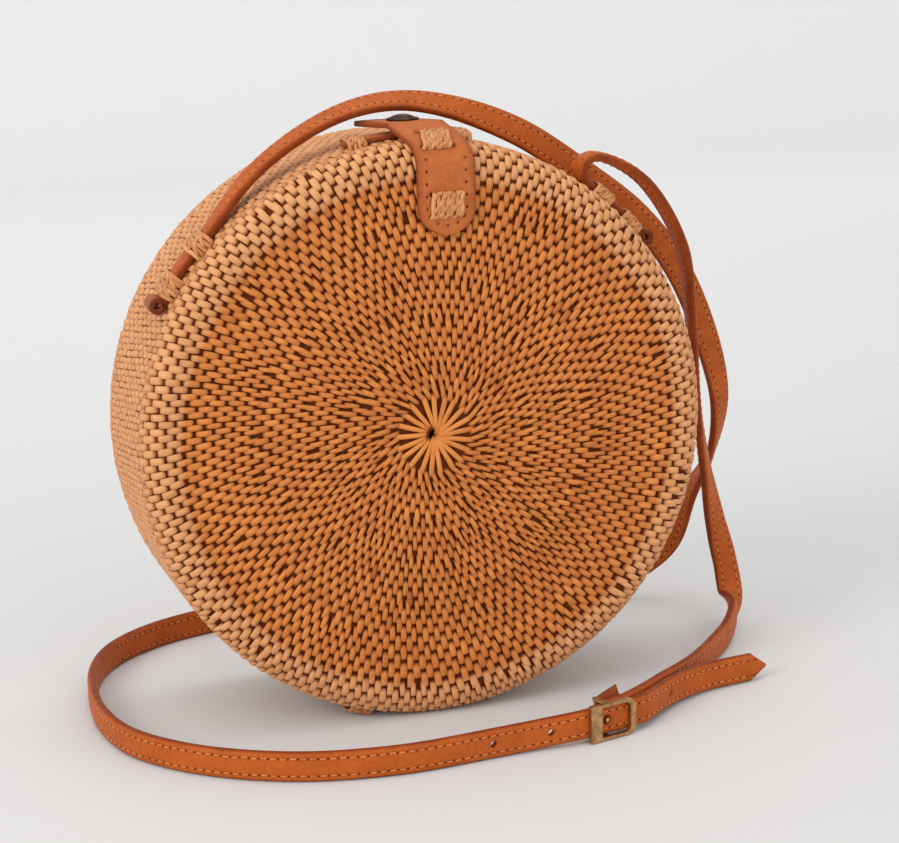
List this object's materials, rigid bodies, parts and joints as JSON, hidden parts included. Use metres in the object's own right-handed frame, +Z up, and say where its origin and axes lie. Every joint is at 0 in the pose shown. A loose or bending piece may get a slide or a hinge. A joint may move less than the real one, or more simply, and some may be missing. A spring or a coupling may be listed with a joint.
{
  "type": "round straw basket bag with leather strap",
  "caption": "Round drum-shaped basket bag of coiled woven cane with a hinged front lid, a leather flap with a snap, and a long leather shoulder strap with a brass buckle",
  "frame": {"origin": "bottom centre of the round rim, on the surface that the bag stands on", "axes": "+Z up, the round drum's axis along Y with its front face towards -Y, +X to the right seen from the front"},
  "size_m": [0.26, 0.1849, 0.2148],
  "materials": {
    "shell_cane": "golden tan split cane, coiled and stitched, satin, with dark brown gaps between the stitches",
    "laced_cane": "pale tan plaited cane lashing, satin",
    "strap_leather": "cognac leather folded double, two rows of orange stitching, worn edges",
    "flap_leather": "tan leather with a row of awl holes along the edge",
    "aged_brass": "antique brass, brushed, darkened in the corners"
  },
  "bodies": {
    "body": {"back_shell": "shell_cane", "strap_long": "strap_leather", "strap_short": "strap_leather", "strap_fold_end": "strap_leather", "buckle_frame": "aged_brass", "buckle_prong": "aged_brass", "strap_tie_left_lower": "laced_cane", "strap_tie_left_upper": "laced_cane", "strap_tie_right_upper": "laced_cane", "strap_tie_right_lower": "laced_cane", "snap_tab": "flap_leather", "snap_socket": "aged_brass", "tab_tie_left": "laced_cane", "tab_tie_right": "laced_cane", "hinge_tie_left": "laced_cane", "hinge_tie_right": "laced_cane"},
    "lid": {"front_lid": "shell_cane", "flap": "flap_leather", "flap_tie_face": "laced_cane", "flap_tie_top": "laced_cane", "snap_cap": "aged_brass"}
  },
  "joints": [
    {"name": "lid_hinge", "type": "hinge", "parent": "body", "child": "lid", "pos_m": [0, -0.0265, 0], "axis": [1, 0, 0], "range_deg": [0, 50]}
  ]
}
